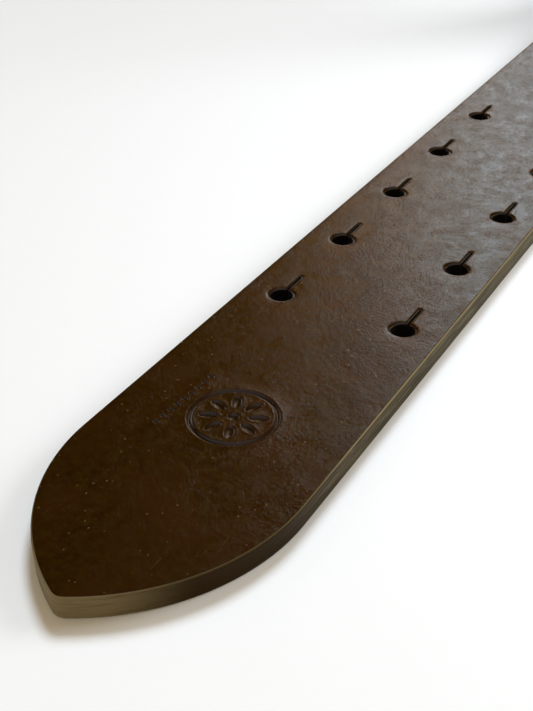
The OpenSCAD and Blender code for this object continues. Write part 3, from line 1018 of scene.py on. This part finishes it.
def makeStaples(plan):
    low, high = boxOf("keeper_staple_back")
    far = boxOf("keeper_staple_front")[1]
    z, r, reach = low.z + plan["wire"], plan["wire"], plan["half"]
    line = [(-reach, z + plan["dip"]), (-reach, z + r)]
    line += arcPoints(-reach + r, z + r, r, 180, 270, 4)[1:]
    line += [(y, z) for y in steps(-reach + r, 0, 0.6)[1:]]
    line += [(-y, height) for y, height in reversed(line[:-1])]
    turns = [math.pi * 2 * i / 12 for i in range(12)]
    rings = [[(plan["flat"] * r * math.cos(a), y + way.x * r * math.sin(a), height + way.y * r * math.sin(a))
              for a in turns] for (y, height), way in zip(line, inwards(line, False))]
    part = addMesh("staple", *loft(rings))
    first = ((low.x + high.x) / 2, 0, 0)
    setOut("keeper_staples", part, first, (far.x - high.x, 0, 0), platedWire, "keeper", "staple_wire",
           ["keeper_staple_back", "keeper_staple_front"])


makeStaples(staplePlan)

# The buckle's parts, drawn level about the bar and then let down on the strap.
bucklePlan = {
    "rail": 5.0, "thickness": 4.6, "round": 1.55, "length": 37.5, "inside": 21.0, "bend": 4.5,
    "restGap": 0.15, "boss": 4.2, "notch": 0.45, "notchHalf": (1.6, 3.6), "barRadius": 2.5, "peen": 0.35,
    "voxel": 0.2, "smoothing": 6,
}
tonguePlan = {
    "eye": 3.66, "eyeHalf": 1.09, "eyeWide": 2.5, "wrapStart": 14.0, "half": 1.2, "middle": 3.55,
    "wide": 2.0, "tipWide": 1.75, "tipHalf": 0.98, "tipDip": 0.2, "round": 0.75,
}
droop = math.asin((barCentre.z - bucklePlan["thickness"] / 2 - strapPlan["thickness"] - bucklePlan["restGap"])
                  / bucklePlan["length"])


def atBar(points):
    c, s = math.cos(droop), math.sin(droop)
    return [(barCentre.x + x * c + z * s, y, barCentre.z - x * s + z * c) for x, y, z in points]


def easing(value, low, high):
    share = min(max((value - low) / (high - low), 0), 1)
    return share * share * (3 - 2 * share)


def joinShapes(shapes):
    verts, faces = [], []
    for points, polygons in shapes:
        faces += [tuple(i + len(verts) for i in polygon) for polygon in polygons]
        verts += points
    return verts, faces


# A turned shape that points along +Y from its middle.
def lyingLathe(profile, y, count=48):
    points, faces = lathe(profile, count)
    return [(x, y + z, -height) for x, height, z in points], faces


def makeFrame(plan):
    side = plan["inside"] + plan["rail"] / 2
    far, r = plan["length"] - plan["rail"] / 2, plan["bend"]
    line = [(x, side) for x in steps(0, far - r, 1.0)]
    line += [(far - r + y, side - r + x) for x, y in arcPoints(0, 0, r, 90, 0, 12)[1:]]
    line += [(far, y) for y in steps(side - r, 0, 0.7)[1:]]
    line += [(x, -y) for x, y in reversed(line[:-1])]
    section = roundedBox(plan["rail"] / 2, plan["thickness"] / 2, plan["round"], 5, 5)
    rings = []
    for (x, y), inward in zip(line, inwards(line, False)):
        # a shallow notch in the far rail under each tongue
        fromTongue = abs(abs(y) - keyholePlan["rowGap"] / 2)
        dip = plan["notch"] * (1 - easing(fromTongue, *plan["notchHalf"])) * (x > far - 1)
        rings.append([(x + inward.x * u, y + inward.y * u, w - dip * easing(w, 0, plan["thickness"] / 2))
                      for u, w in section])
    half, boss = plan["rail"] / 2, plan["boss"]
    disc = [(0, -half), (boss - 0.9, -half), (boss - 0.25, -half + 0.25), (boss, -half + 0.9),
            (boss, half - 0.9), (boss - 0.25, half - 0.25), (boss - 0.9, half), (0, half)]
    verts, faces = joinShapes([loft(rings), lyingLathe(disc, side), lyingLathe(disc, -side)])
    piece = addMesh("buckle_brass", atBar(verts), faces)
    remesh = piece.modifiers.new("cast in one", "REMESH")
    remesh.mode, remesh.voxel_size, remesh.use_smooth_shade = "VOXEL", plan["voxel"] * mm, True
    smooth = piece.modifiers.new("softened", "SMOOTH")
    smooth.factor, smooth.iterations = 0.5, plan["smoothing"]
    settle(piece)
    piece.data.materials.append(castBrass)
    hand(piece, "buckle", "cast_brass", "buckle_frame")


def makeBar(plan):
    end, r, peen = barHigh.y, plan["barRadius"], plan["peen"]
    profile = [(0, end + peen), (r * 0.55, end + peen * 0.92), (r * 0.95, end + peen * 0.45),
               (r * 1.12, end + 0.04), (r * 1.08, end - 0.12), (r, end - 0.3)]
    profile += [(x, -y) for x, y in reversed(profile)]
    verts, faces = lyingLathe(profile, 0, 56)
    piece = addMesh("bar_brass", atBar(verts), faces)
    piece.data.materials.append(turnedBrass)
    hand(piece, "buckle", "turned_brass", "hinge_bar")


# A tongue is one strip, rolled round the bar and run out over the frame.
def makeTongue(name, side, plan):
    line = []
    for i in range(61):
        a = math.radians(plan["wrapStart"] - (plan["wrapStart"] + 270) * i / 60)
        line.append((plan["eye"] * math.cos(a), plan["eye"] * math.sin(a), plan["eyeHalf"], plan["eyeWide"],
                     math.cos(a), math.sin(a)))
    end = bucklePlan["length"]
    for x in steps(0, end - 1.6, 0.7)[1:] + [end - k for k in (1.2, 0.8, 0.45, 0.2, 0.05)]:
        thin = easing(x, end - 9, end)
        half = plan["half"] + (plan["tipHalf"] - plan["half"]) * thin
        middle = plan["eye"] + (plan["middle"] - plan["eye"]) * easing(x, 0, 4) - plan["tipDip"] * thin
        wide = plan["eyeWide"] + (plan["wide"] - plan["eyeWide"]) * easing(x, 0.5, 6)
        wide += (plan["tipWide"] - plan["wide"]) * easing(x, 8, end)
        nose = max(end - x, 0) / plan["tipWide"]
        if nose < 1:
            wide *= math.sqrt(1 - (1 - nose) ** 2)
            half *= 0.72 + 0.28 * math.sqrt(1 - (1 - nose) ** 2)
        line.append((x, middle, half, wide, 0, 1))
    rings = []
    for x, z, half, wide, nx, nz in line:
        section = roundedBox(wide, half, min(plan["round"], wide * 0.9, half * 0.9), 4, 3)
        rings.append([(x + nx * w, side * keyholePlan["rowGap"] / 2 + u, z + nz * w) for u, w in section])
    verts, faces = loft(rings)
    piece = addMesh(name + "_brass", atBar(verts), faces)
    piece.data.materials.append(castBrass)
    hand(piece, name, "cast_brass", name)


makeFrame(bucklePlan)
makeBar(bucklePlan)
makeTongue("tongue_left", left, tonguePlan)
makeTongue("tongue_right", right, tonguePlan)

# Two-part screws that close the fold, and ball studs of the same make.
fastenerPlan = {
    "flange": 4.5, "flangeHigh": 1.1, "barrel": 2.4, "bore": 1.75, "shank": 1.7, "neck": 1.9,
    "neckHigh": 4.4, "ball": 3.25, "slotHalf": 0.6, "slotDeep": 0.55, "turns": (0.5, 1.15),
}


def barrelBelow(plan, grainZ, stackZ):
    return [(plan["flange"], grainZ + 0.18), (plan["flange"] - 0.08, grainZ), (plan["barrel"], grainZ),
            (plan["barrel"], stackZ + 0.2), (plan["barrel"] - 0.15, stackZ + 0.05),
            (plan["bore"], stackZ + 0.05), (plan["bore"], grainZ - 2), (0, grainZ - 1.6)]


def makeFasteners(plan):
    low, high = boxOf("screw_post_left")
    stackZ, grainZ = low.z - 0.05, high.z - plan["flangeHigh"]
    topZ, f = high.z, plan["flange"]
    dome = [(0, topZ + 0.12), (f * 0.35, topZ + 0.08), (f * 0.6, topZ - 0.06), (f * 0.8, topZ - 0.28),
            (f * 0.93, topZ - 0.58)]
    post = addMesh("post", *lathe(dome + barrelBelow(plan, grainZ, stackZ), 48))
    neck, ball = plan["neck"], plan["ball"]
    centre = topZ + plan["neckHigh"] + math.sqrt(ball ** 2 - neck ** 2)
    start = math.degrees(math.acos(neck / ball))
    knob = [(0, centre + ball)] + arcPoints(0, centre, ball, 84, -start, 22)
    knob += [(neck, centre - ball * math.sin(math.radians(start)) - 0.5), (neck, topZ + 1.0),
             (neck + 0.14, topZ + 0.55), (neck + 0.5, topZ + 0.16), (neck + 1.0, topZ + 0.02),
             (f * 0.72, topZ - 0.1), (f * 0.86, topZ - 0.32)]
    stud = addMesh("stud", *lathe(knob + barrelBelow(plan, grainZ, stackZ), 48))
    base = stackZ - plan["flangeHigh"]
    cap = [(0, grainZ - 2.05), (plan["shank"] - 0.3, grainZ - 2.05), (plan["shank"], grainZ - 2.35),
           (plan["shank"], stackZ), (f - 0.08, stackZ), (f, stackZ - 0.16), (f * 0.96, stackZ - 0.6),
           (f * 0.86, base + 0.16), (f * 0.72, base + 0.03), (0, base)]
    screw = addMesh("screw", *lathe(cap, 48))
    w, deep = plan["slotHalf"], plan["slotDeep"]
    corners = [(x * 9, y * w, base + z) for z in (-1, deep) for y in (-1, 1) for x in (-1, 1)]
    cutter = addMesh("slot", corners, [(0, 1, 3, 2), (4, 6, 7, 5), (0, 4, 5, 1), (2, 3, 7, 6), (0, 2, 6, 4),
                                       (1, 5, 7, 3)])
    slot = screw.modifiers.new("slot", "BOOLEAN")
    slot.object, slot.operation, slot.solver = cutter, "DIFFERENCE", "EXACT"
    soft = screw.modifiers.new("broken edges", "BEVEL")
    soft.width, soft.segments, soft.limit_method, soft.angle_limit = 0.07 * mm, 2, "ANGLE", math.radians(50)
    settle(screw)
    discard(cutter)
    second = addMesh("second", [], [])
    second.data = screw.data.copy()
    gap = keyholePlan["rowGap"]
    screwX, studX = barCentre.x - foldHoles["screwBack"], barCentre.x - foldHoles["studBack"]
    for name, part, x, turns, nodes in (
            ("closing_posts", post, screwX, (0.0, 0.0), "screw_post"),
            ("closing_screws", screw, screwX, plan["turns"], "screw_cap"),
            ("ball_studs", stud, studX, (0.0, 0.0), "stud_ball"),
            ("stud_screws", second, studX, plan["turns"][::-1], "stud_screw")):
        setOut(name, part, (x, gap / 2, 0), (0, -gap, 0), turnedBrass, "belt", "turned_brass",
               [nodes + "_left", nodes + "_right"], turns)


makeFasteners(fastenerPlan)

# The room: a pale floor, a soft key from beyond the belt, a low side lamp and a weak lamp at the tip.
roomPlan = {
    "floor": (0.9, 0.9, 0.895), "floorHalf": 9000,
    "fill": 0.36, "fillColor": (1.0, 0.75, 0.44), "backdrop": (0.93, 0.93, 0.925),
    # The bright part of the room that polished leather mirrors, in degrees. Each side says where it
    # starts and how fast it fades.
    "window": 13.8, "windowColor": (0.79, 1.08, 1.25), "fringeColor": (1.0, 0.42, 0.03),
    "fringeEnds": (0.09, 0.29), "gloom": 0.004, "ahead": (0.94, 0.34),
    "windowLeft": (-12.0, 32.0), "windowRight": (40.0, -27.0), "windowElevation": 26.0, "windowAbove": 12.5,
    "windowBelow": 13.0, "windowSoft": (1.5, 0.55), "windowFade": 2.0, "behind": 0.5, "above": 0.5,
    "key": {"power": 2.85, "azimuth": 21.0, "elevation": 46.0, "spread": 20.0, "color": (0.735, 0.86, 1.01)},
    "side": {"power": 0.85, "azimuth": -56.0, "elevation": 32.0, "distance": 0.3, "size": 0.2,
             "color": (0.9, 0.95, 1.0)},
    "sideAt": 150.0,                  # mm from the tip
    "tipFill": {"power": 5.0, "azimuth": 172.0, "elevation": 5.0, "distance": 0.9, "size": 0.4,
                "color": (0.95, 1.0, 0.9)},
}


# A lamp with a distance stands in the room. One without shines from far away.
def makeLight(name, plan, aim):
    data = bpy.data.lights.new(name, "AREA" if "distance" in plan else "SUN")
    data.energy, data.color = plan["power"], plan["color"]
    if "distance" in plan:
        data.shape, data.size = "DISK", plan["size"]
    else:
        data.angle = math.radians(plan["spread"])
    lamp = bpy.data.objects.new(name, data)
    scene.collection.objects.link(lamp)
    turn, lift = math.radians(plan["azimuth"]), math.radians(plan["elevation"])
    way = Vector((math.cos(turn) * math.cos(lift), math.sin(turn) * math.cos(lift), math.sin(lift)))
    lamp.location = aim + way * plan.get("distance", 1.0)
    lamp.rotation_euler = way.to_track_quat("Z", "Y").to_euler()
    lamp.visible_glossy = lamp.visible_camera = False


def makeWorld(plan):
    world = bpy.data.worlds.new("room")
    scene.world = world
    world.use_nodes = True
    tree = world.node_tree
    parts = split(tree, put(tree, "ShaderNodeTexCoord").outputs["Generated"])
    degrees = 180 / math.pi
    turn = calc(tree, "MULTIPLY", calc(tree, "ARCTAN2", parts[1], parts[0]), degrees)
    lift = calc(tree, "MULTIPLY", calc(tree, "ARCSINE", parts[2]), degrees)
    past = [calc(tree, "DIVIDE", calc(tree, "SUBTRACT", turn, start), fade)
            for start, fade in (plan["windowLeft"], plan["windowRight"])]
    across = calc(tree, "MAXIMUM", *past)
    high = calc(tree, "SUBTRACT", lift, plan["windowElevation"])
    high = calc(tree, "MAXIMUM", calc(tree, "DIVIDE", high, plan["windowAbove"]),
                calc(tree, "DIVIDE", high, -plan["windowBelow"]))
    squares = [calc(tree, "MULTIPLY", value, value) for value in (across, high)]
    away = calc(tree, "SQRT", calc(tree, "ADD", *squares))
    outer, inner = plan["windowSoft"]
    near = put(tree, "ShaderNodeMapRange",
               inputs={"Value": away, "From Min": outer, "From Max": inner}).outputs[0]
    share = calc(tree, "POWER", near, plan["windowFade"])
    glow = calc(tree, "MULTIPLY_ADD", share, plan["window"], plan["gloom"])
    rays = put(tree, "ShaderNodeLightPath").outputs
    clear = span(tree, share, *plan["fringeEnds"])
    mirrored = blendColors(tree, clear, plan["fringeColor"], plan["windowColor"])
    mirrored = blendColors(tree, 1.0, mirrored, glow, "MULTIPLY")
    fill = [c * plan["fill"] for c in plan["fillColor"]]
    soft = blendColors(tree, rays["Is Camera Ray"], fill, plan["backdrop"])
    ahead = calc(tree, "ADD", *(calc(tree, "MULTIPLY", parts[i], plan["ahead"][i]) for i in (0, 1)))
    behind = calc(tree, "MULTIPLY", span(tree, ahead, 0.2, -0.5), plan["behind"])
    above = calc(tree, "MULTIPLY", span(tree, parts[2], 0.93, 0.99), plan["above"])
    mirrored = blendColors(tree, 1.0, mirrored, calc(tree, "ADD", behind, above), "ADD")
    seen = blendColors(tree, rays["Is Glossy Ray"], soft, mirrored)
    tree.links.new(seen, tree.nodes["Background"].inputs[0])


def makeStage(plan):
    half = plan["floorHalf"]
    corners = [(x * half, y * half, 0) for x, y in ((-1, -1), (1, -1), (1, 1), (-1, 1))]
    floor = addMesh("floor", corners, [(0, 1, 2, 3)], None, False)
    material, tree, shader = startFinish("floor paper", {"Roughness": 0.75})
    grainy = noise(tree, objectPlace(tree), 0.4, 3.0)
    color = blendColors(tree, grainy, plan["floor"], [c * 0.985 for c in plan["floor"]])
    tree.links.new(color, shader.inputs["Base Color"])
    floor.data.materials.append(material)
    makeWorld(plan)
    tip = Vector((tipX, 0, 0)) * mm
    makeLight("key", plan["key"], tip)
    makeLight("side", plan["side"], tip + Vector((plan["sideAt"], 0, 0)) * mm)
    makeLight("tip fill", plan["tipFill"], tip)
    scene.view_settings.view_transform = "Standard"


makeStage(roomPlan)
print("room lit")
